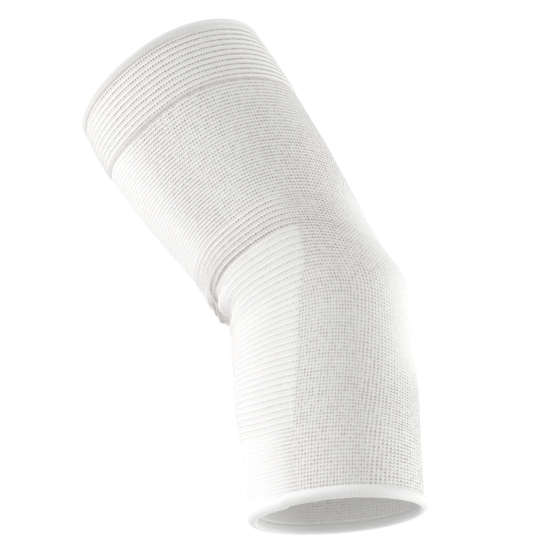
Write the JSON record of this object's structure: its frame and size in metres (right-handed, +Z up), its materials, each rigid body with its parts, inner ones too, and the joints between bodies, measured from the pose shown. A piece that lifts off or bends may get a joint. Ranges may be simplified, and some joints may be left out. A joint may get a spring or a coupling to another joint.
{
  "type": "elbow brace",
  "caption": "Bent knitted elastic elbow sleeve, open at both ends, with turned hems, a ribbed upper band and gathered ribs in the crook.",
  "frame": {"origin": "middle of the bore at the elbow, where the worn elbow sits", "axes": "+Z up towards the upper-arm end, which leans to -X; the forearm end points to -Z; +X is the back of the elbow, -X its crook; Y = 0 is the plane of the bend"},
  "size_m": [0.173, 0.0964, 0.2584],
  "materials": {
    "knit": "white elastic knit, matt",
    "hem": "white whip-stitched turned edge, matt"
  },
  "bodies": {
    "root": {"sleeve": "knit", "upper_hem": "hem", "lower_hem": "hem"}
  },
  "joints": []
}
